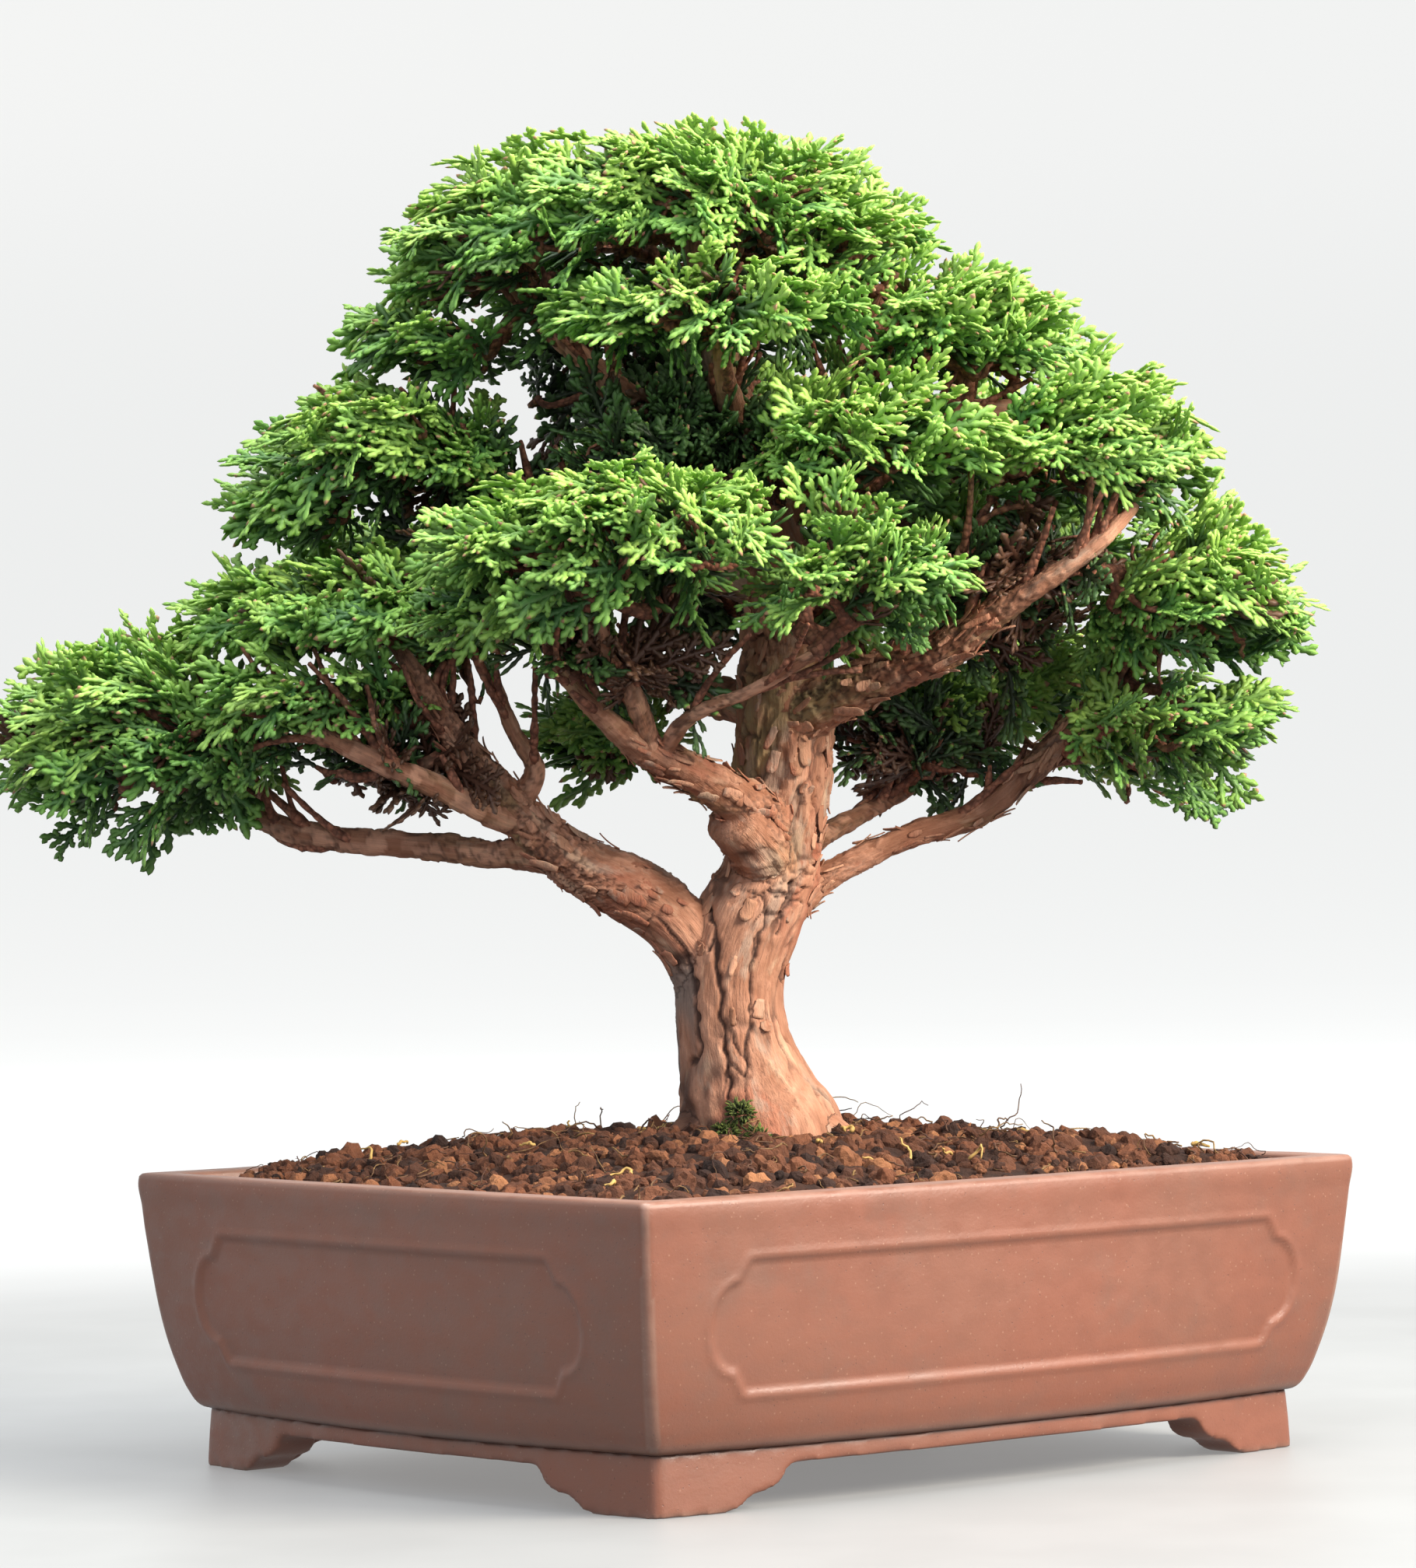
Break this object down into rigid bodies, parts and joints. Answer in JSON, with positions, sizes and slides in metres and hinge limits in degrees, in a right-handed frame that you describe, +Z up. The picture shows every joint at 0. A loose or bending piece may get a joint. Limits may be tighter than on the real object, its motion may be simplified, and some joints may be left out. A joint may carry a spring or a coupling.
{
  "type": "potted bonsai tree",
  "caption": "Dwarf conifer bonsai with layered foliage pads on a tapering trunk, rooted in granular soil in a rectangular unglazed footed pot.",
  "frame": {"origin": "on the ground, at the middle of the whole object's bounding box", "axes": "+Z up, +X along the pot's long side, +Y towards the pot's back; the tree's front faces the pot's corner at -X -Y"},
  "size_m": [0.3152, 0.2682, 0.3701],
  "materials": {
    "unglazed_clay": "satin",
    "akadama_soil": "matte",
    "moss": "matte",
    "cypress_bark": "matte",
    "hinoki_foliage": "matte",
    "black_mesh": "matte",
    "aluminium_wire": "satin"
  },
  "bodies": {
    "root": {"drain_screen_left": "black_mesh", "drain_screen_right": "black_mesh", "foliage_apex": "hinoki_foliage", "foliage_apex_front": "hinoki_foliage", "foliage_apex_left": "hinoki_foliage", "foliage_apex_right": "hinoki_foliage", "foliage_back_left": "hinoki_foliage", "foliage_back_low": "hinoki_foliage", "foliage_back_middle": "hinoki_foliage", "foliage_back_right": "hinoki_foliage", "foliage_back_top": "hinoki_foliage", "foliage_centre_right": "hinoki_foliage", "foliage_front": "hinoki_foliage", "foliage_front_left": "hinoki_foliage", "foliage_front_right": "hinoki_foliage", "foliage_left_low": "hinoki_foliage", "foliage_left_low_upper": "hinoki_foliage", "foliage_left_middle": "hinoki_foliage", "foliage_left_shoulder": "hinoki_foliage", "foliage_left_upper": "hinoki_foliage", "foliage_left_upper_tip": "hinoki_foliage", "foliage_right_back_low": "hinoki_foliage", "foliage_right_middle": "hinoki_foliage", "foliage_right_outer_lower": "hinoki_foliage", "foliage_right_outer_upper": "hinoki_foliage", "foliage_shoulder_lower": "hinoki_foliage", "foliage_shoulder_upper": "hinoki_foliage", "moss_tuft": "moss", "pot": "unglazed_clay", "screen_clip_left": "aluminium_wire", "screen_clip_right": "aluminium_wire", "soil_bed": "akadama_soil", "trunk_and_limbs": "cypress_bark"}
  },
  "joints": []
}
